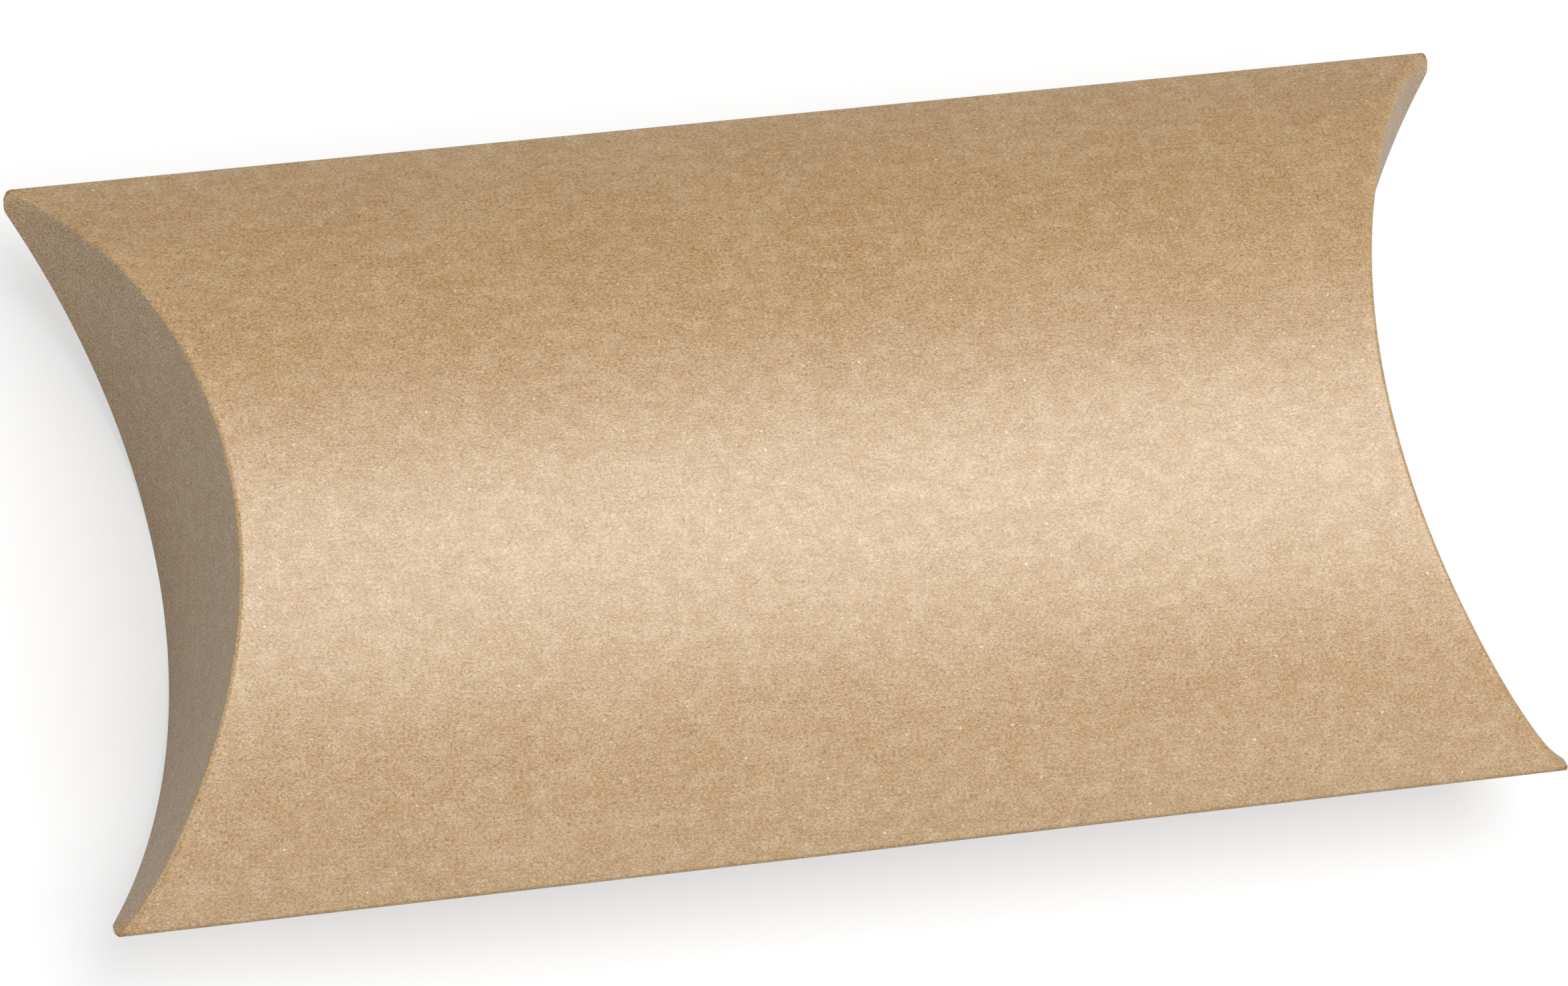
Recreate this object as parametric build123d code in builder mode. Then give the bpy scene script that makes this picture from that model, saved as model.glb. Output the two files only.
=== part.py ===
from build123d import *
import os
from math import asin, atan2, cos, degrees, radians, sin, sqrt, tan

# A pillow box: one card blank, creased, folded and glued into a flattened sleeve, whose two
# bulged panels are closed at each end by a pair of lens-shaped flaps on curved creases.
# X runs along the box, Y across it, Z up through its depth. The origin is the middle of the box,
# on the level of the two straight long edges. The front panel is on top, and the box lies on
# the belly of its back panel.

# The closed box, over its outside
box_length = 160.0
box_width = 83.5
box_depth = 30.5

# The card and its straight folds
card = 0.45
fold_radius = 0.6

# The curved creases. Each one lies in a flat plane that meets its twin's plane this far short
# of the long folds' ends. The angles are those planes' slopes.
crease_setback = 0.65
front_crease_angle = 43.2
back_crease_angle = 48.8
mitre_gap = 0.3

# The outer flaps spring open a little: their free edge stands off the back crease.
stand_off_middle = 1.2
stand_off_corner = 2.2
outer_flap_relief = 1.8
outer_flap_stations = 13

# The inner flaps, tucked in behind the outer ones
inner_flap_relief = 3.5
inner_flap_height_share = 0.66

# The glued seam: the back panel's cut edge over a tab that is folded in from the front panel
seam_gap = 0.4
tab_width = 12.0
tab_end_setback = 3.5
tab_end_slope = 45.0
glue_thickness = 0.08
glue_width = 7.0
glue_edge_margin = 2.0
glue_end_margin = 4.0

# The panels' arc runs into the rounded long folds without a corner.
half_depth = box_depth / 2
fold_y = box_width / 2 - fold_radius
panel_radius = (fold_y**2 + half_depth**2 - fold_radius**2) / (2 * (half_depth - fold_radius))
arc_centre = panel_radius - half_depth
edge_angle = degrees(atan2(fold_y, arc_centre))
crease_corner = box_length / 2 - crease_setback

os.makedirs("parts", exist_ok=True)


def bent_strip(plane, centre, outside_radius, inside_radius, start_angle, sweep):
    """The section of a bent card: two arcs about one centre, closed by its two cut edges."""
    with BuildSketch(plane, mode=Mode.PRIVATE) as section:
        with BuildLine():
            outside = CenterArc(centre, outside_radius, start_angle, sweep)
            inside = CenterArc(centre, inside_radius, start_angle, sweep)
            Line(outside @ 0, inside @ 0)
            Line(outside @ 1, inside @ 1)
        make_face()
    return section.sketch


def inside_crease(crease_angle, growth):
    """What a curved crease at the right end encloses, cut square to the crease's flat plane.

    The plane rises inwards from the corners at crease_angle, or falls where that is negative.
    The panel's round outside meets it in an ellipse, which growth widens.
    """
    rise = sin(radians(abs(crease_angle)))
    across = (sin(radians(crease_angle)), 0, cos(radians(crease_angle)))
    with BuildPart() as body:
        with BuildSketch(Plane(origin=(crease_corner, 0, 0), x_dir=(0, 1, 0), z_dir=across)):
            with Locations((0, -arc_centre / rise)):
                Ellipse(panel_radius + growth, panel_radius / rise + growth)
        extrude(amount=box_depth, both=True)
    return body.part


def outer_flap_slice(y):
    """The outer flap's card in a slice along the box, from the front crease to the free edge.

    In such a slice the flap is straight. It starts half a gap past the crease, where it is cut
    square to the crease's plane, and it ends level with the outside of the back panel. The card
    slants across the slice by the slope of the panels there, and so it measures more in it.
    """
    rise = sqrt(panel_radius**2 - y**2) - arc_centre
    slope = abs(y) / sqrt(panel_radius**2 - y**2)
    crease_x = crease_corner - rise / tan(radians(front_crease_angle))
    back_crease_x = crease_corner - rise / tan(radians(back_crease_angle))
    stand_off = stand_off_corner + (stand_off_middle - stand_off_corner) * rise / half_depth
    edge_x = back_crease_x + stand_off
    lean = (edge_x - crease_x) / (2 * rise)
    card_across = card * sqrt(1 + slope**2 + lean**2)

    # Along the crease's plane, and square to it
    along_x = cos(radians(front_crease_angle))
    along_z = -sin(radians(front_crease_angle))
    square_x = sin(radians(front_crease_angle))
    square_z = cos(radians(front_crease_angle))
    half_gap = mitre_gap / 2 * sqrt(1 + (slope / square_x) ** 2)
    drop = half_gap * (along_x + lean * along_z) / (square_x + lean * square_z)
    top_x = crease_x + half_gap * along_x - drop * square_x
    top_z = rise + half_gap * along_z - drop * square_z
    mitre = card_across / (square_x + lean * square_z)
    return [
        (top_x, top_z),
        (edge_x, -rise),
        (edge_x - card_across, -rise),
        (top_x - mitre * square_x, top_z - mitre * square_z),
    ]


# Front panel: it stops at the mitre of its curved creases, half a gap short of the fold line.
front_crease_cut = inside_crease(front_crease_angle, mitre_gap / 2)
with BuildPart() as front_panel:
    start = 90 - edge_angle
    section = bent_strip(
        Plane.YZ, (0, -arc_centre), panel_radius, panel_radius - card, start, 2 * edge_angle
    )
    extrude(section, amount=box_length / 2, both=True)
    add(front_crease_cut, mode=Mode.SUBTRACT)
    add(front_crease_cut.mirror(Plane.YZ), mode=Mode.SUBTRACT)
front_panel.part.label = "front_panel"
export_step(front_panel.part, "parts/front_panel.step")

# Back panel: the same arc turned down. At the seam its cut edge stops short of the fold.
seam_angle = degrees((fold_radius + seam_gap) / panel_radius)
back_crease_cut = inside_crease(-back_crease_angle, mitre_gap / 2)
with BuildPart() as back_panel:
    start = 270 - edge_angle + seam_angle
    sweep = 2 * edge_angle - seam_angle
    section = bent_strip(Plane.YZ, (0, arc_centre), panel_radius, panel_radius - card, start, sweep)
    extrude(section, amount=box_length / 2, both=True)
    add(back_crease_cut, mode=Mode.SUBTRACT)
    add(back_crease_cut.mirror(Plane.YZ), mode=Mode.SUBTRACT)
back_panel.part.label = "back_panel"
export_step(back_panel.part, "parts/back_panel.step")

# Spine fold: the plain long edge, where the card turns from the front panel to the back panel.
fold_sweep = 180 - 2 * edge_angle
with BuildPart() as spine_fold:
    start = edge_angle - 90
    section = bent_strip(Plane.YZ, (fold_y, 0), fold_radius, fold_radius - card, start, fold_sweep)
    extrude(section, amount=box_length / 2, both=True)
spine_fold.part.label = "spine_fold"
export_step(spine_fold.part, "parts/spine_fold.step")

# Glue tab: a strip that the seam fold carries from the front panel in behind the back panel,
# with slanted ends that stay out of the flaps' way.
tab_radius = panel_radius - card - glue_thickness
tab_angle = degrees(tab_width / tab_radius)
tab_edge_y = tab_radius * sin(radians(edge_angle - tab_angle))
tab_root_y = fold_y - fold_radius
tab_root_half = box_length / 2 - tab_end_setback
tab_edge_half = tab_root_half - (tab_root_y - tab_edge_y) * tan(radians(tab_end_slope))
with BuildPart() as glue_tab:
    start = 270 - edge_angle
    section = bent_strip(Plane.YZ, (0, arc_centre), tab_radius, tab_radius - card, start, tab_angle)
    extrude(section, amount=tab_root_half, both=True)
    with BuildSketch(Plane.XY):
        with BuildLine():
            Polyline(
                (-tab_root_half, -box_width / 2),
                (-tab_root_half, -tab_root_y),
                (-tab_edge_half, -tab_edge_y + card),
                (tab_edge_half, -tab_edge_y + card),
                (tab_root_half, -tab_root_y),
                (tab_root_half, -box_width / 2),
                close=True,
            )
        make_face()
    extrude(amount=box_depth, both=True, mode=Mode.INTERSECT)
    with BuildSketch(Plane.YZ):
        with BuildLine():
            bead = CenterArc((-fold_y, 0), fold_radius, 90 + edge_angle, 180)
            Line(bead @ 1, bead @ 0)
        make_face()
    extrude(amount=box_length / 2, both=True)
glue_tab.part.label = "glue_tab"
export_step(glue_tab.part, "parts/glue_tab.step")

# Glue line: the thin film that holds the back panel's edge down on the tab.
glue_start = 270 - edge_angle + seam_angle + degrees(glue_edge_margin / tab_radius)
glue_angle = degrees(glue_width / tab_radius)
with BuildPart() as glue_line:
    section = bent_strip(
        Plane.YZ, (0, arc_centre), tab_radius + glue_thickness, tab_radius, glue_start, glue_angle
    )
    extrude(section, amount=tab_edge_half - glue_end_margin, both=True)
glue_line.part.label = "glue_line"
export_step(glue_line.part, "parts/glue_line.step")

# Outer flaps: folded down from the front panel, lofted through slices along the box.
outer_flap_half = box_width / 2 - outer_flap_relief
with BuildPart() as right_outer_flap:
    for station in range(outer_flap_stations):
        y = outer_flap_half * (2 * station / (outer_flap_stations - 1) - 1)
        with BuildSketch(Plane.XZ.offset(-y)):
            with BuildLine():
                Polyline(*outer_flap_slice(y), close=True)
            make_face()
    loft()
right_outer_flap.part.label = "right_outer_flap"
export_step(right_outer_flap.part, "parts/right_outer_flap.step")

with BuildPart() as left_outer_flap:
    add(right_outer_flap.part.mirror(Plane.YZ))
left_outer_flap.part.label = "left_outer_flap"
export_step(left_outer_flap.part, "parts/left_outer_flap.step")

# Inner flaps: folded up from the back panel behind the outer ones, and shorter than those. The
# card folds over a flat crease as in a mirror, so the flap is an arc that is straight along its
# lean, and the lean is twice what the crease's plane is steeper than 45 degrees.
inner_flap_lean = 2 * back_crease_angle - 90
lean_direction = (-sin(radians(inner_flap_lean)), 0, cos(radians(inner_flap_lean)))
inner_flap_angle = degrees(asin((box_width / 2 - inner_flap_relief) / panel_radius))
inner_edge_rise = (2 * inner_flap_height_share - 1) * half_depth
with BuildPart() as right_inner_flap:
    level = Plane(origin=(crease_corner, 0, 0), x_dir=(0, 1, 0), z_dir=lean_direction)
    start = 90 - inner_flap_angle
    section = bent_strip(
        level, (0, -arc_centre), panel_radius, panel_radius + card, start, 2 * inner_flap_angle
    )
    extrude(section, amount=box_depth, both=True)
    add(inside_crease(-back_crease_angle, -mitre_gap / 2), mode=Mode.INTERSECT)
    with BuildSketch(Plane.YZ):
        with BuildLine():
            free_edge = ThreePointArc((-box_width / 2, 0), (0, inner_edge_rise), (box_width / 2, 0))
            Polyline(
                free_edge @ 1,
                (box_width / 2, -box_depth),
                (-box_width / 2, -box_depth),
                free_edge @ 0,
            )
        make_face()
    extrude(amount=box_length, mode=Mode.INTERSECT)
right_inner_flap.part.label = "right_inner_flap"
export_step(right_inner_flap.part, "parts/right_inner_flap.step")

with BuildPart() as left_inner_flap:
    add(right_inner_flap.part.mirror(Plane.YZ))
left_inner_flap.part.label = "left_inner_flap"
export_step(left_inner_flap.part, "parts/left_inner_flap.step")
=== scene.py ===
from math import atan2, cos, pi, radians, sin, tan

import bpy
import numpy as np
from mathutils import Matrix, Vector


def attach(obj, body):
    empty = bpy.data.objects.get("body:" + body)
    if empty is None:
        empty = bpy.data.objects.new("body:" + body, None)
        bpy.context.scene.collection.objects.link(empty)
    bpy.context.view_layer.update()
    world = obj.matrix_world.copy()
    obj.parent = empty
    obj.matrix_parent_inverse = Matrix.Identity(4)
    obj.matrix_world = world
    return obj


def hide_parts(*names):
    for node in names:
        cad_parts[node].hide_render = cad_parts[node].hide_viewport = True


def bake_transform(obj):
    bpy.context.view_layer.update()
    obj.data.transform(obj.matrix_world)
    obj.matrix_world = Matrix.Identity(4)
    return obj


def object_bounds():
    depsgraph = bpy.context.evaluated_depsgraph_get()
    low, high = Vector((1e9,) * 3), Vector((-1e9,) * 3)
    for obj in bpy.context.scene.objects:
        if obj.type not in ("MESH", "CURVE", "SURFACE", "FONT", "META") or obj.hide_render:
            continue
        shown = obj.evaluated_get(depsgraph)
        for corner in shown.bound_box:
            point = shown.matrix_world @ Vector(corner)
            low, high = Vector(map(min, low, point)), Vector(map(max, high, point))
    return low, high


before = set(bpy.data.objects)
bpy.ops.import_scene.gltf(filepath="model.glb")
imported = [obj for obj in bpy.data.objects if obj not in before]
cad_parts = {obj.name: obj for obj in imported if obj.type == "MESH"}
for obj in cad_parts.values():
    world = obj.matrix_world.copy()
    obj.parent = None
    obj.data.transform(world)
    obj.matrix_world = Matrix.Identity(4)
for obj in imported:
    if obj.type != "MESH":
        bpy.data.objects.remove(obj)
cad_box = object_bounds()

# A kraft pillow box. X runs along it, Y across it and Z up through its depth. The card keeps the
# frame's shape, and here it is one thin sheet with soft folds and raw cut edges.
mm = 0.001
mm_per_metre = 1000

# The closed box over its outside, from the frame
low, high = cad_box
box_length = high.x - low.x
box_width = high.y - low.y
box_depth = high.z - low.z

# The card and its straight folds
card = 0.45 * mm
long_fold_radius = 0.6 * mm

# The curved creases
crease_corner = box_length / 2 - 0.65 * mm
front_crease_angle = radians(43.2)
back_crease_angle = radians(48.8)
crease_round = 0.55 * mm
crease_round_at_corner = 2.0 * mm
corner_round_start = 25 * mm
corner_round = 0.85 * mm
corner_softness = 0.07 * mm

# The arc at a crease reaches past it by at most this share of the flap's length.
longest_reach = 0.45

# The outer flaps' free edge stands off the back crease.
stand_off_middle = 1.2 * mm
stand_off_corner = 2.2 * mm

# The inner flaps
inner_flap_height_share = 0.66
inner_flap_relief = 3.5 * mm
inner_flap_side = 0.6 * mm
inner_crease_round = 0.5 * mm
shortest_turn_in = 0.12 * mm

# The glued seam
seam_gap = 0.4 * mm
glue_film = 0.08 * mm
tab_width = 12 * mm
tab_end_setback = 3.5 * mm
tab_ramp = 1.3 * mm
tab_end_fade = 0.9 * mm

# Where a flap's bend starts and ends when it opens, measured inwards and square to the crease's
# plane. The rounded crease and the strip of panel beside it lie before the start.
outer_bend = (1.65 * mm, 11 * mm)
inner_bend = (3.2 * mm, 18 * mm)

# Each end piece holds a strip of panel, this wide, on its side of the crease.
panel_strip = 0.4 * mm

# How many stations the grids have. An end piece has some on its strip, its crease and its flap.
stations_along = 121
stations_across = 181
end_stations = (5, 17, 65)
fold_stations = 17
tab_ramp_stations = 13
tab_stations = 17
sharp_angle = radians(40)

# The panels' arc, which runs into the rounded long folds without a corner
half_depth = box_depth / 2
fold_y = box_width / 2 - long_fold_radius
panel_radius = (fold_y**2 + half_depth**2 - long_fold_radius**2) / (
    2 * (half_depth - long_fold_radius)
)
arc_centre = panel_radius - half_depth
edge_angle = atan2(fold_y, arc_centre)
half_arc = panel_radius * edge_angle
fold_turn = pi - 2 * edge_angle
fold_length = long_fold_radius * fold_turn


def ease(share):
    """The smooth step: 3 s squared less 2 s cubed, with s held between 0 and 1."""
    share = np.clip(share, 0, 1)
    return share * share * (3 - 2 * share)


def panel_section(across):
    """Width y and rise z of a panel at an arc length across it: R sin(a/R) and R cos(a/R) - c."""
    turn = across / panel_radius
    return panel_radius * np.sin(turn), panel_radius * np.cos(turn) - arc_centre


def corner_limit(y):
    """How far out the card reaches at y: the box's end, with a quarter circle at its corners."""
    past = np.clip(np.abs(y) - (box_width / 2 - corner_round), 0, corner_round)
    return box_length / 2 - corner_round + np.sqrt(corner_round**2 - past**2)


def outer_end(across):
    """Crease place, turn, rounding and flap length of the front panel's end, slice by slice.

    The flap runs straight from the crease to its free edge, level with the back panel's outside.
    The edge's place is the smooth lesser of the line that springs off and the rounded corner.
    """
    y, rise = panel_section(across)
    crease = crease_corner - rise / tan(front_crease_angle)
    stand_off = stand_off_corner + (stand_off_middle - stand_off_corner) * rise / half_depth
    sprung = crease_corner - rise / tan(back_crease_angle) + stand_off
    limit = corner_limit(y)
    middle = (sprung + limit) / 2
    edge = middle - np.sqrt(((sprung - limit) / 2) ** 2 + corner_softness**2)
    turn = np.arctan2(2 * rise, edge - crease)
    length = np.hypot(2 * rise, edge - crease)
    grow = ease((np.abs(y) - corner_round_start) / (fold_y - corner_round_start))
    wanted = crease_round + (crease_round_at_corner - crease_round) * grow
    radius = np.minimum(wanted, longest_reach * length / np.tan(turn / 2))
    return crease, turn, radius, length


def inner_end(across):
    """The same for the back panel's end, where the inner flap folds over a flat crease.

    A fold over a plane mirrors the panel, so the flap turns by twice the plane's slope. Its free
    edge is a flat arc, and past its relief only a thread of the turned card is left.
    """
    y, rise = panel_section(across)
    crease = crease_corner - rise / tan(back_crease_angle)
    turn = np.full_like(y, 2 * back_crease_angle)
    edge_rise = (2 * inner_flap_height_share - 1) * half_depth
    edge_radius = ((box_width / 2) ** 2 + edge_rise**2) / (2 * edge_rise)
    edge = np.sqrt(edge_radius**2 - y**2) - (edge_radius - edge_rise)
    length = (edge + rise) / sin(2 * back_crease_angle)
    relief = box_width / 2 - inner_flap_relief
    length = length * (1 - ease((np.abs(y) - relief) / inner_flap_side))
    length = np.maximum(length, shortest_turn_in)
    radius = np.minimum(inner_crease_round, longest_reach * length / np.tan(turn / 2))
    return crease, turn, radius, length


def folded_card(end, along, across, face):
    """A point of the card at the blank's lengths along and across it, on the right end.

    Along a slice the card runs level, turns over the crease on an arc and runs on straight. face
    is 1 for the front panel and -1 for the back panel, which is the same form turned down.
    """
    crease, turn, radius, _ = end(across)
    y, rise = panel_section(across)
    start = crease - radius * np.tan(turn / 2)
    angle = np.clip((along - start) / radius, 0, turn)
    past = np.maximum(along - start - radius * turn, 0)
    x = np.minimum(along, start) + radius * np.sin(angle) + past * np.cos(turn)
    z = rise - radius * (1 - np.cos(angle)) - past * np.sin(turn)
    return np.stack([x, y, face * z], -1)


def crease_lengths(end, across):
    """The blank's length along it at the arc's start, at its end and at the free edge."""
    crease, turn, radius, length = end(across)
    tangent = radius * np.tan(turn / 2)
    start = crease - tangent
    return start, start + radius * turn, start + radius * turn + length - tangent


def seam_section(past):
    """Width and height of the seam fold and the tab, at an arc length past the front panel.

    The card goes round the long fold's circle. Then it follows the back panel, and sinks by the
    card's thickness and the glue's behind it, on a smooth step.
    """
    tilt = edge_angle + np.clip(past, 0, fold_length) / long_fold_radius
    beyond = np.maximum(past - fold_length, 0)
    angle = edge_angle - beyond / panel_radius
    sunk = panel_radius - (card + glue_film) * ease(beyond / tab_ramp)
    on_fold = past < fold_length
    y = np.where(on_fold, fold_y + long_fold_radius * np.sin(tilt), sunk * np.sin(angle))
    z = np.where(on_fold, long_fold_radius * np.cos(tilt), arc_centre - sunk * np.cos(angle))
    return -y, z


def long_fold_end(share):
    """Where a long fold is cut: from the crease's corner to the outer flap's, on a smooth step."""
    crease, turn, _, length = outer_end(np.array(half_arc))
    edge = crease + length * np.cos(turn)
    return crease + (edge - crease) * ease(share)


def new_piece(name, points, faces, finish, finishes, blank, from_crease):
    """A mesh object at the origin, smooth, with the blank's lengths in metres as its UV map.

    Its from_crease attribute is how far past the curved crease a point lies on the blank.
    """
    mesh = bpy.data.meshes.new(name)
    mesh.from_pydata(points.tolist(), [], faces.tolist())
    for material in finishes:
        mesh.materials.append(material)
    mesh.polygons.foreach_set("material_index", finish.astype(np.int32))
    mesh.polygons.foreach_set("use_smooth", np.ones(len(faces), bool))
    corner_vertex = np.empty(len(mesh.loops), np.int32)
    mesh.loops.foreach_get("vertex_index", corner_vertex)
    blank_map = mesh.uv_layers.new(name="blank")
    blank_map.data.foreach_set("uv", blank[corner_vertex].astype(np.float32).ravel())
    attribute = mesh.attributes.new("from_crease", "FLOAT", "POINT")
    attribute.data.foreach_set("value", from_crease.astype(np.float32))
    mesh.update()
    mesh.set_sharp_from_angle(angle=sharp_angle)
    piece = bpy.data.objects.new(name, mesh)
    bpy.context.scene.collection.objects.link(piece)
    return piece


def card_piece(name, surface, along, across, outward, finishes, blank, from_crease):
    """A closed sheet of card over a grid of two parameters.

    Its outside is the surface. The unit normal is the cross product of the surface's central
    differences, and the inside is the outside less the card's thickness times that normal, held
    within the box. A rim joins the two along the grid's border. outward is 1, or -1 where the
    cross product points in.
    """
    step = 1e-4 * mm
    outside = surface(along, across)
    slope_along = surface(along + step, across) - surface(along - step, across)
    slope_across = surface(along, across + step) - surface(along, across - step)
    normal = outward * np.cross(slope_along, slope_across)
    normal /= np.linalg.norm(normal, axis=-1, keepdims=True)
    inside = np.clip(outside - card * normal, low, high)

    rows, columns = along.shape
    number = np.arange(rows * columns).reshape(rows, columns)
    quads = np.stack(
        [number[:-1, :-1], number[1:, :-1], number[1:, 1:], number[:-1, 1:]], -1
    ).reshape(-1, 4)
    if outward < 0:
        quads = quads[:, ::-1]
    border = np.concatenate(
        [number[:-1, 0], number[-1, :-1], number[:0:-1, -1], number[0, :0:-1]]
    )
    following = np.roll(border, -1)
    under = rows * columns
    rim = np.stack([border, border + under, following + under, following], -1)
    if outward < 0:
        rim = rim[:, ::-1]
    faces = np.concatenate([quads, quads[:, ::-1] + under, rim])
    finish = np.repeat([0, 1, 2], [len(quads), len(quads), len(rim)])
    points = np.concatenate([outside.reshape(-1, 3), inside.reshape(-1, 3)])
    blank = np.tile(blank.reshape(-1, 2), (2, 1))
    from_crease = np.tile(from_crease.ravel(), 2)
    return new_piece(name, points, faces, finish, finishes, blank, from_crease)


def spread_stations(half_span, count):
    """Stations from minus to plus the half span: the mean of an even spread and a sine's."""
    even = np.linspace(-1, 1, count)
    return half_span * (even + np.sin(even * pi / 2)) / 2


def panel_piece(name, face, end, across, finishes, blank_across):
    """A bulged panel: evenly spread in x between its end pieces' strips, and an arc across."""
    start, bent, _ = crease_lengths(end, across)
    crease = (start + bent) / 2
    along = np.linspace(-1, 1, stations_along)[:, None] * (start - panel_strip)
    wide = np.broadcast_to(across, along.shape)

    def surface(along, across):
        y, rise = panel_section(across)
        return np.stack([along, y, face * rise], -1)

    blank = np.stack([along, np.broadcast_to(blank_across, along.shape)], -1)
    return card_piece(name, surface, along, wide, face, finishes, blank, np.abs(along) - crease)


def end_piece(name, side, face, end, across, finishes, blank_across):
    """A strip of panel, its crease and its flap. side is 1 at the right end, -1 at the left."""
    start, bent, edge = crease_lengths(end, across)
    stops = (start - panel_strip, start, bent, edge)
    rows = [
        first + (last - first) * np.linspace(0, 1, count)[:, None]
        for first, last, count in zip(stops, stops[1:], end_stations)
    ]
    along = np.concatenate([rows[0], rows[1][1:], rows[2][1:]])
    wide = np.broadcast_to(across, along.shape)

    def surface(along, across):
        return folded_card(end, along, across, face) * (side, 1, 1)

    blank = np.stack([side * along, np.broadcast_to(blank_across, along.shape)], -1)
    from_crease = along - (start + bent) / 2
    return card_piece(name, surface, along, wide, side * face, finishes, blank, from_crease)


def spine_piece(name, finishes):
    """The plain long fold: a circle's arc from panel to panel, with its ends cut aslant."""
    past = np.linspace(0, fold_length, fold_stations)
    along = np.linspace(-1, 1, stations_along)[:, None] * long_fold_end(past / fold_length)
    wide = np.broadcast_to(past, along.shape)

    def surface(along, past):
        tilt = edge_angle + past / long_fold_radius
        y = fold_y + long_fold_radius * np.sin(tilt)
        return np.stack([along, y, long_fold_radius * np.cos(tilt)], -1)

    blank = np.stack([along, half_arc + wide], -1)
    no_crease = np.full_like(along, -box_length)
    return card_piece(name, surface, along, wide, 1, finishes, blank, no_crease)


def seam_piece(name, finishes):
    """The seam fold and the glue tab, whose ends slant at 45 degrees from their root."""
    past = np.concatenate([
        np.linspace(0, fold_length, fold_stations),
        fold_length + tab_ramp * np.linspace(0, 1, tab_ramp_stations)[1:],
        fold_length + tab_ramp + (tab_width - tab_ramp) * np.linspace(0, 1, tab_stations)[1:],
    ])
    beyond = np.maximum(past - fold_length, 0)
    fold_end = long_fold_end(past / fold_length)
    tab_end = box_length / 2 - tab_end_setback - beyond
    end = fold_end + (tab_end - fold_end) * ease(beyond / tab_end_fade)
    along = np.linspace(-1, 1, stations_along)[:, None] * end
    wide = np.broadcast_to(past, along.shape)

    def surface(along, past):
        y, z = seam_section(past)
        return np.stack([along, y, z], -1)

    blank = np.stack([along, -half_arc - wide], -1)
    no_crease = np.full_like(along, -box_length)
    return card_piece(name, surface, along, wide, -1, finishes, blank, no_crease)


def new_finish(name):
    """An empty material, its node tree and its surface shader."""
    material = bpy.data.materials.new(name)
    material.use_nodes = True
    tree = material.node_tree
    return material, tree, tree.nodes["Principled BSDF"]


def node(tree, kind, inputs=(), **settings):
    """A node with its settings, and its inputs by name or number set to a value or a socket."""
    made = tree.nodes.new(kind)
    for key, value in settings.items():
        setattr(made, key, value)
    for key, value in dict(inputs).items():
        if isinstance(value, bpy.types.NodeSocket):
            tree.links.new(value, made.inputs[key])
        else:
            made.inputs[key].default_value = value
    return made


def maths(tree, operation, first, second=0.0):
    """One number from two."""
    inputs = {0: first, 1: second}
    return node(tree, "ShaderNodeMath", inputs, operation=operation).outputs[0]


def vector_maths(tree, operation, first, second):
    """One vector from two."""
    inputs = {0: first, 1: second}
    return node(tree, "ShaderNodeVectorMath", inputs, operation=operation).outputs[0]


def ramp(tree, value, low_value, high_value, low_result=0.0, high_result=1.0):
    """From one result to the other on a smooth step, as the value goes from its low to its high."""
    inputs = {0: value, 1: low_value, 2: high_value, 3: low_result, 4: high_result}
    made = node(tree, "ShaderNodeMapRange", inputs, interpolation_type="SMOOTHSTEP")
    return made.outputs[0]


def noise(tree, place, scale, detail, roughness=0.5, dimensions="2D"):
    """A soft noise of so many lumps to the place's unit."""
    inputs = {"Vector": place, "Scale": scale, "Detail": detail, "Roughness": roughness}
    return node(tree, "ShaderNodeTexNoise", inputs, noise_dimensions=dimensions)


def tint(tree, share, first, second, mode="MIX"):
    """Two colours mixed by a share, in a blend mode."""
    made = node(tree, "ShaderNodeMix", {0: share, 6: first, 7: second}, data_type="RGBA")
    made.blend_type = mode
    return made.outputs[2]


def roughen(tree, shader, height, strength, depth):
    """Gives a shader the bumps of a height from 0 to 1, at a depth in metres."""
    inputs = {"Height": height, "Strength": strength, "Distance": depth}
    bump = node(tree, "ShaderNodeBump", inputs)
    tree.links.new(bump.outputs[0], shader.inputs["Normal"])


def blank_place(tree):
    """The place on the flat blank in millimetres: x along the box, y across it."""
    blank_map = node(tree, "ShaderNodeUVMap", uv_map="blank").outputs[0]
    return vector_maths(tree, "MULTIPLY", blank_map, (mm_per_metre, mm_per_metre, 0))


def wandering(tree, place, reach, size):
    """A place pushed about by a soft noise: reach and size in millimetres."""
    drift = noise(tree, place, 1 / size, 1.0).outputs["Color"]
    centred = vector_maths(tree, "SUBTRACT", drift, (0.5, 0.5, 0.5))
    return vector_maths(tree, "ADD", place, vector_maths(tree, "MULTIPLY", centred, (reach,) * 3))


def turned(tree, place, degrees, offset=0.0):
    """The place turned in the blank's plane, and then shifted by an offset both ways."""
    rotation = (0, 0, radians(degrees))
    inputs = {"Vector": place, "Rotation": rotation, "Location": (offset, offset, 0)}
    return node(tree, "ShaderNodeMapping", inputs).outputs[0]


def felt(tree, place, degrees, length, width, offset):
    """Matted fibres: a noise drawn out along one direction, from 0 to 1."""
    along = turned(tree, place, degrees, offset)
    drawn = vector_maths(tree, "MULTIPLY", along, (1 / length, 1 / width, 1))
    return noise(tree, drawn, 1.0, 1.5, 0.55).outputs["Fac"]


def curls(tree, place, size, thin, offset):
    """Curly lines where a noise is within thin of its middle, broken up by a second noise."""
    moved = turned(tree, place, 0, offset)
    level = noise(tree, moved, 1 / size, 1.0).outputs["Fac"]
    line = ramp(tree, maths(tree, "ABSOLUTE", maths(tree, "SUBTRACT", level, 0.5)), thin, 0.0)
    breaks = ramp(tree, noise(tree, moved, 1.7 / size, 1.0).outputs["Color"], 0.42, 0.56)
    return maths(tree, "MULTIPLY", line, breaks)


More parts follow.
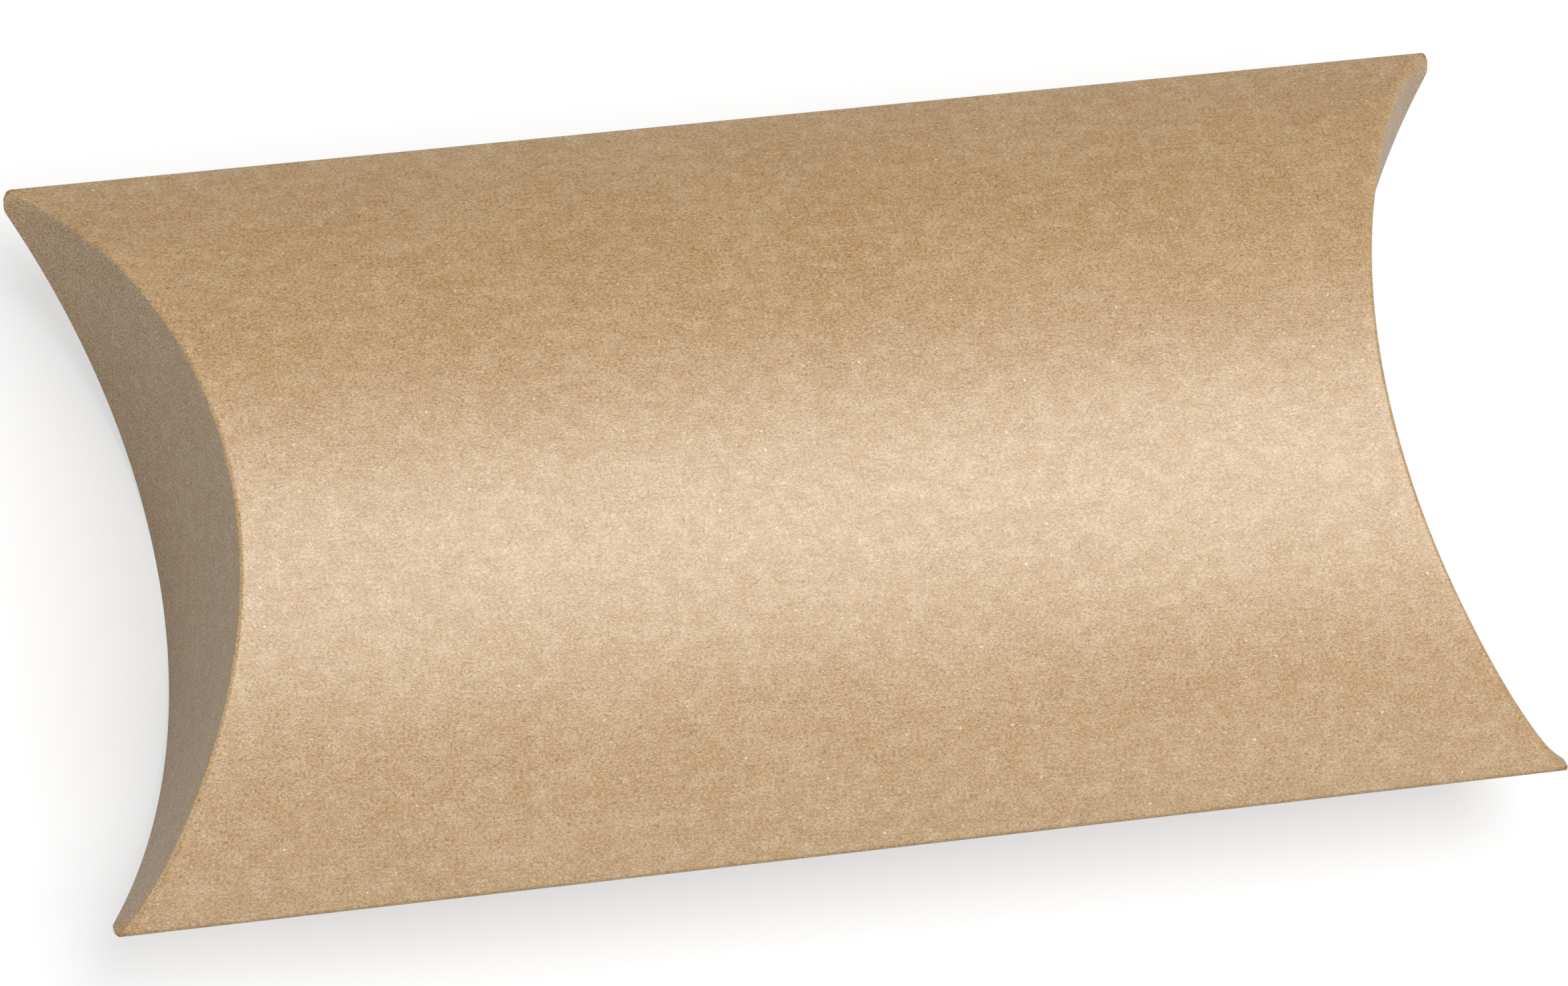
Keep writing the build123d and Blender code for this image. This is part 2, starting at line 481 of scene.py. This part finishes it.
def strokes(tree, place, cell, size, spread, share_kept, offset):
    """Single fibres, one at most in each of a Voronoi pattern's cells, all sizes in millimetres.

    In its cell a fibre is where both its lengthways distance is under half its length and its
    sideways distance under half its width. The cell's own colour turns it by up to the spread
    and chooses which cells hold one. Gives the mask and the cell's third random number.
    """
    moved = vector_maths(tree, "ADD", place, (offset, offset * 0.7, 0))
    scaled = vector_maths(tree, "DIVIDE", moved, (cell[0], cell[1], 1))
    cells = node(
        tree, "ShaderNodeTexVoronoi", {"Vector": scaled, "Scale": 1.0}, voronoi_dimensions="2D"
    )
    away = vector_maths(tree, "SUBTRACT", scaled, cells.outputs["Position"])
    away = vector_maths(tree, "MULTIPLY", away, (cell[0], cell[1], 0))
    draws = node(tree, "ShaderNodeSeparateColor", {0: cells.outputs["Color"]}).outputs
    angle = maths(tree, "MULTIPLY", maths(tree, "SUBTRACT", draws[0], 0.5), 2 * spread)
    turn = node(
        tree, "ShaderNodeVectorRotate", {"Vector": away, "Angle": angle}, rotation_type="Z_AXIS"
    ).outputs[0]
    parts = node(tree, "ShaderNodeSeparateXYZ", {0: turn}).outputs
    lengthways = maths(tree, "DIVIDE", maths(tree, "ABSOLUTE", parts[0]), size[0] / 2)
    sideways = maths(tree, "DIVIDE", maths(tree, "ABSOLUTE", parts[1]), size[1] / 2)
    inside = ramp(tree, maths(tree, "MAXIMUM", lengthways, sideways), 1.0, 0.45)
    kept = maths(tree, "LESS_THAN", draws[1], share_kept)
    return maths(tree, "MULTIPLY", inside, kept), draws[2]


# Colours of the card's faces, its cut edge and the glue
kraft = (0.475, 0.283, 0.112, 1)
kraft_pale = (0.61, 0.415, 0.225, 1)
kraft_warm = (0.48, 0.262, 0.085, 1)
kraft_dark = (0.21, 0.112, 0.040, 1)
fibre_white = (0.76, 0.62, 0.42, 1)
fibre_dark = (0.17, 0.090, 0.036, 1)
fleck_pale = (0.92, 0.80, 0.52, 1)
edge_dark = (0.20, 0.12, 0.06, 1)
edge_pale = (0.44, 0.29, 0.155, 1)
edge_brown = (0.34, 0.21, 0.10, 1)
glue_clear = (0.62, 0.55, 0.38, 1)
glue_milky = (0.80, 0.75, 0.60, 1)

# How far the fibres' pattern wanders and the size of that drift, in millimetres
wander = (0.45, 0.7)

# Tone. Clouds and patches change at this pace along the box and across it, and have so many lumps
# to the millimetre. Streaks have a turn in degrees, a length, a width and an offset.
cloud_pace = (0.85, 1.0, 1)
cloud_scale = 0.09
patch_scale = 0.5
streak_shape = (3, 3.2, 0.32, 83.0)

# How strongly the fibres come out on a flap, against 1 on a panel, as painted shade that makes the
# flaps darker and contrastier, and how much they stand up
flap_painted_shade_fibres = 1.5
curl_relief = 0.25
fibre_relief = 0.3
tooth_depth = 0.035 * mm

# A speck's radius in millimetres, at its outside and where it is solid
speck_radius = (0.16, 0.055)

# The crease's lighter line, partly rub wear and partly a painted highlight of the rounded fold: how
# far it lies on the panel's side of the crease and strays from there, its reach at its outside and
# where it is whole, all in millimetres, and its brightness
rub_highlight_place = 0.55
rub_highlight_stray = 1.4
rub_highlight_reach = (0.95, 0.1)
rub_highlight_tone = (1.05, 1.05, 1.05, 1)

# How much the roughness changes from patch to patch and over the fibres
patch_gloss = 0.016
fibre_gloss = 0.12


def kraft_card(name, brightness=1.0, smooth=0.26, sheen=0.88, wear_and_painted_light=True):
    """Uncoated kraft card: matted fibres, single pale and dark fibres, clouds and specks, and, when
    asked for, a lighter line at the crease that is partly wear and partly a painted highlight, and
    fibres stronger on the flaps as painted shade.

    smooth is the roughness where the fibres lie lowest, and sheen the level of the gloss.
    """
    material, tree, shader = new_finish(name)
    place = blank_place(tree)
    loose = wandering(tree, place, *wander)

    # Clouds, patches and streaks: slow changes of tone, drawn out along the box
    slow = vector_maths(tree, "MULTIPLY", place, cloud_pace)
    cloud = noise(tree, slow, cloud_scale, 3.0, 0.55).outputs["Fac"]
    patch = noise(tree, slow, patch_scale, 3.0, 0.6).outputs["Fac"]
    streak = felt(tree, place, *streak_shape)
    colour = kraft
    for level, first, last, strength, tone in (
        (cloud, 0.35, 0.70, 0.30, kraft_pale),
        (patch, 0.47, 0.72, 0.60, kraft_pale),
        (patch, 0.50, 0.28, 0.75, kraft_warm),
        (streak, 0.50, 0.72, 0.24, kraft_pale),
        (streak, 0.50, 0.28, 0.16, kraft_dark),
    ):
        colour = tint(tree, ramp(tree, level, first, last, 0.0, strength), colour, tone)

    # How strongly the fibres come out: more on the flaps, as painted shade that makes them darker
    # and contrastier than the panels
    fibres_with_painted_shade = 1.0
    if wear_and_painted_light:
        crease = node(tree, "ShaderNodeAttribute", attribute_name="from_crease")
        past = maths(tree, "MULTIPLY", crease.outputs["Fac"], mm_per_metre)
        fibres_with_painted_shade = ramp(tree, past, 0.0, 1.0, 1.0, flap_painted_shade_fibres)

    # Matted fibres: four directions, mostly along the box
    mat = None
    for degrees, length, width, offset, weight in (
        (4, 0.40, 0.105, 3.1, 0.40),
        (36, 0.26, 0.100, 17.3, 0.20),
        (-38, 0.26, 0.100, 41.9, 0.20),
        (88, 0.22, 0.100, 67.1, 0.20),
    ):
        layer = maths(tree, "MULTIPLY", felt(tree, loose, degrees, length, width, offset), weight)
        mat = layer if mat is None else maths(tree, "ADD", mat, layer)
    for first, last, strength, tone in (
        (0.51, 0.38, 0.58, kraft_dark),
        (0.48, 0.62, 0.46, fibre_white),
    ):
        share = maths(tree, "MULTIPLY", fibres_with_painted_shade, strength)
        share = maths(tree, "MULTIPLY", ramp(tree, mat, first, last), share)
        colour = tint(tree, share, colour, tone)
    relief = mat

    # Curly fibres: thin broken lines where a soft noise passes its middle value
    for size, thin, offset, fibre, strength in (
        (0.50, 0.050, 5.3, fibre_dark, 0.36),
        (0.80, 0.028, 29.7, fibre_dark, 0.38),
        (0.60, 0.040, 53.9, fibre_white, 0.32),
    ):
        share = maths(tree, "MULTIPLY", fibres_with_painted_shade, strength)
        share = maths(tree, "MULTIPLY", curls(tree, loose, size, thin, offset), share)
        colour = tint(tree, share, colour, fibre)
        relief = maths(tree, "ADD", relief, maths(tree, "MULTIPLY", share, curl_relief))

    # Single longer fibres, pale and dark, and few
    for cell, size, spread, kept, offset, fibre, strength in (
        ((1.6, 0.8), (1.0, 0.065), 1.2, 0.5, 11.3, fibre_white, 0.7),
        ((2.8, 1.5), (1.9, 0.070), 1.5, 0.25, 23.9, fibre_dark, 0.8),
    ):
        mask, draw = strokes(tree, loose, cell, size, spread, kept, offset)
        share = maths(tree, "MULTIPLY", mask, maths(tree, "MULTIPLY", draw, strength))
        colour = tint(tree, share, colour, fibre)
        relief = maths(tree, "ADD", relief, maths(tree, "MULTIPLY", share, fibre_relief))

    # Specks of bark and pale flecks of pulp, few and small
    for per_mm, offset, fewest, strength, tone in (
        (0.22, 0.0, 0.0, 0.75, kraft_dark),
        (0.34, 61.7, 0.68, 0.75, fleck_pale),
    ):
        moved = turned(tree, loose, 0, offset)
        inputs = {"Vector": moved, "Scale": per_mm}
        spots = node(tree, "ShaderNodeTexVoronoi", inputs, voronoi_dimensions="2D")
        chosen = node(tree, "ShaderNodeSeparateColor", {0: spots.outputs["Color"]}).outputs
        outside, solid = (radius * per_mm for radius in speck_radius)
        speck = ramp(tree, spots.outputs["Distance"], outside, solid)
        shown = ramp(tree, chosen[0], fewest, 1.0, 0.0, strength)
        colour = tint(tree, maths(tree, "MULTIPLY", speck, shown), colour, tone)

    # A lighter line along the crease on the panel's side, partly rub wear and partly a painted
    # highlight of the rounded fold, its texture kept
    if wear_and_painted_light:
        stray = maths(tree, "MULTIPLY", maths(tree, "SUBTRACT", patch, 0.5), rub_highlight_stray)
        near = maths(tree, "ADD", maths(tree, "ADD", past, stray), rub_highlight_place)
        rub_and_highlight = ramp(tree, maths(tree, "ABSOLUTE", near), *rub_highlight_reach)
        colour = tint(tree, rub_and_highlight, colour, rub_highlight_tone, "MULTIPLY")

    colour = tint(tree, 1.0, colour, (brightness,) * 3 + (1,), "MULTIPLY")
    tree.links.new(colour, shader.inputs["Base Color"])

    # The gloss is a little patchy, as where a press has smoothed the card unevenly.
    pressed = ramp(tree, patch, 0.3, 0.7, smooth + patch_gloss, smooth - patch_gloss)
    roughness = maths(tree, "ADD", pressed, maths(tree, "MULTIPLY", mat, fibre_gloss))
    tree.links.new(roughness, shader.inputs["Roughness"])
    shader.inputs["Specular IOR Level"].default_value = sheen
    roughen(tree, shader, relief, 1.0, tooth_depth)
    return material


def cut_edge(name):
    """The raw cut edge of the card: thin layers, browner and duller than its faces."""
    material, tree, shader = new_finish(name)
    place = node(tree, "ShaderNodeTexCoord").outputs["Object"]
    fine = noise(tree, place, 5200.0, 2.0, 0.6, "3D").outputs["Fac"]
    slow = noise(tree, place, 700.0, 2.0, 0.5, "3D").outputs["Fac"]
    colour = tint(tree, ramp(tree, fine, 0.35, 0.65), edge_dark, edge_pale)
    colour = tint(tree, ramp(tree, slow, 0.4, 0.7, 0.0, 0.4), colour, edge_brown)
    tree.links.new(colour, shader.inputs["Base Color"])
    shader.inputs["Roughness"].default_value = 0.85
    roughen(tree, shader, fine, 0.5, 0.05 * mm)
    return material


def dried_glue(name):
    """Dried carton glue: a yellowish white film with small bubbles."""
    material, tree, shader = new_finish(name)
    place = node(tree, "ShaderNodeTexCoord").outputs["Object"]
    milky = noise(tree, place, 900.0, 3.0, 0.5, "3D").outputs["Fac"]
    bubbles = node(tree, "ShaderNodeTexVoronoi", {"Vector": place, "Scale": 1600.0})
    colour = tint(tree, ramp(tree, milky, 0.3, 0.7), glue_clear, glue_milky)
    tree.links.new(colour, shader.inputs["Base Color"])
    shader.inputs["Roughness"].default_value = 0.35
    roughen(tree, shader, bubbles.outputs["Distance"], 0.3, 0.04 * mm)
    return material


# The card's face is pressed smooth, and its back, inside the box, is dull, without the crease's
# line of wear and painted highlight and without the flaps' painted shade.
card_face = kraft_card("kraft_card_face")
card_back = kraft_card("kraft_card_inside", brightness=0.93, smooth=0.62, sheen=0.3, wear_and_painted_light=False)
card_edge = cut_edge("kraft_card_cut_edge")
finishes = (card_face, card_back, card_edge)

# The pieces. The back panel's stations stop at its cut edge over the seam.
across = spread_stations(half_arc, stations_across)
seam_edge = -half_arc + long_fold_radius + seam_gap
back_across = (across + half_arc) * (half_arc - seam_edge) / (2 * half_arc) + seam_edge
back_blank = 2 * half_arc + fold_length - back_across

front_panel = panel_piece("front_panel_card", 1, outer_end, across, finishes, across)
back_panel = panel_piece("back_panel_card", -1, inner_end, back_across, finishes, back_blank)
spine_fold = spine_piece("spine_fold_card", finishes)
seam_fold = seam_piece("seam_fold_and_tab_card", finishes)
for piece, replaced in (
    (front_panel, "front_panel"),
    (back_panel, "back_panel"),
    (spine_fold, "spine_fold"),
    (seam_fold, "glue_tab"),
):
    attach(piece, "sleeve")
    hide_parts(replaced)

for side, side_name in ((-1, "left"), (1, "right")):
    flaps = (
        ("outer", 1, outer_end, across, across, front_crease_angle, outer_bend),
        ("inner", -1, inner_end, back_across, back_blank, back_crease_angle, inner_bend),
    )
    for kind, face, end, stations, blank, slope, bend in flaps:
        flap = f"{side_name}_{kind}_flap"
        piece = end_piece(flap + "_card", side, face, end, stations, finishes, blank)
        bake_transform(piece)
        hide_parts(flap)

glue_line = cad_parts["glue_line"]
glue_line.data.materials.clear()
glue_line.data.materials.append(dried_glue("dried_glue"))

# The stage: a white floor that keeps a soft shadow, and plain soft lamps. The floor's own light
# grows from floor_glow to 1 between the two distances from its middle in lit_floor.
floor_half = 3.0
floor_grey = (0.45, 0.45, 0.45, 1)
floor_glow = 0.56
lit_floor = (0.35, 1.3)
glow_in_gloss = 0.25
world_level = 0.2
lamp_distance = 1.2
white = (1, 1, 1, 1)


def white_to_see(tree):
    """1 to the camera and through glass, and a share of that in the card's dull gloss."""
    rays = node(tree, "ShaderNodeLightPath").outputs
    in_gloss = maths(tree, "MULTIPLY", rays["Is Glossy Ray"], glow_in_gloss)
    seen = maths(tree, "MAXIMUM", rays["Is Camera Ray"], in_gloss)
    return maths(tree, "MAXIMUM", seen, rays["Is Transmission Ray"])


def white_floor():
    """A white floor, part of whose light is its own: more of it away from the lamps' pool."""
    material, tree, shader = new_finish("white_floor")
    shader.inputs["Base Color"].default_value = floor_grey
    shader.inputs["Roughness"].default_value = 1.0
    shader.inputs["Specular IOR Level"].default_value = 0.0
    place = node(tree, "ShaderNodeTexCoord").outputs["Object"]
    away = node(tree, "ShaderNodeVectorMath", {0: place}, operation="LENGTH").outputs["Value"]
    glowing = ramp(tree, away, *lit_floor, floor_glow, 1.0)
    strength = maths(tree, "MULTIPLY", white_to_see(tree), glowing)
    glow = node(tree, "ShaderNodeEmission", {"Color": white, "Strength": strength})
    both = node(tree, "ShaderNodeAddShader", {0: shader.outputs[0], 1: glow.outputs[0]})
    tree.links.new(both.outputs[0], tree.nodes["Material Output"].inputs["Surface"])
    return material


floor_mesh = bpy.data.meshes.new("floor")
floor_mesh.from_pydata(
    [(x * floor_half, y * floor_half, low.z) for x, y in ((-1, -1), (1, -1), (1, 1), (-1, 1))],
    [],
    [(0, 1, 2, 3)],
)
floor_mesh.materials.append(white_floor())
floor = bpy.data.objects.new("floor", floor_mesh)
bpy.context.scene.collection.objects.link(floor)

world = bpy.data.worlds.new("studio")
bpy.context.scene.world = world
world.use_nodes = True
world_light = world.node_tree.nodes["Background"]
world_light.inputs["Color"].default_value = white
world_white = maths(world.node_tree, "MAXIMUM", white_to_see(world.node_tree), world_level)
world.node_tree.links.new(world_white, world_light.inputs["Strength"])


def soft_lamp(name, direction, size, level):
    """A rectangular lamp that faces the box from a direction, at a level of 1 for plain white.

    Its first side runs along the box, as far as a side square to the direction can.
    """
    toward = Vector(direction).normalized()
    side = (Vector((1, 0, 0)) - toward * toward.x).normalized()
    other = toward.cross(side)
    light = bpy.data.lights.new(name, "AREA")
    light.shape = "RECTANGLE"
    light.size, light.size_y = size
    light.energy = level * pi * size[0] * size[1]
    lamp = bpy.data.objects.new(name, light)
    turn = Matrix((side, other, toward)).transposed().to_4x4()
    lamp.matrix_world = Matrix.Translation(toward * lamp_distance) @ turn
    bpy.context.scene.collection.objects.link(lamp)


# Strips that run along the box, each at its tilt in degrees from upright, and all a little to
# the right. Then one lamp at the left.
strip_size = (0.9, 0.4)
strip_to_right = 0.27
for name, tilt, level in (
    ("overhead_back", 32, 0.6),
    ("overhead_near_back", 14, 4.2),
    ("overhead_middle", -4, 4.5),
    ("overhead_near_front", -22, 2.5),
    ("front", -60, 2.0),
):
    direction = (strip_to_right, sin(radians(tilt)), cos(radians(tilt)))
    soft_lamp(name, direction, strip_size, level)
soft_lamp("left", direction=(-0.9, 0, 0.42), size=(0.5, 0.7), level=2.4)

# The camera, at the photograph's place: metres, degrees, and millimetres for lens and sensor
camera_place = (-0.22357, -0.28392, 0.93070)
camera_turn = (18.4751, -10.4522, -9.6995)
camera_data = bpy.data.cameras.new("camera")
camera_data.lens = 212.78
camera_data.sensor_width = 36
camera = bpy.data.objects.new("camera", camera_data)
camera.location = camera_place
camera.rotation_euler = [radians(angle) for angle in camera_turn]
bpy.context.scene.collection.objects.link(camera)
bpy.context.scene.camera = camera
bpy.context.scene.view_settings.view_transform = "Standard"
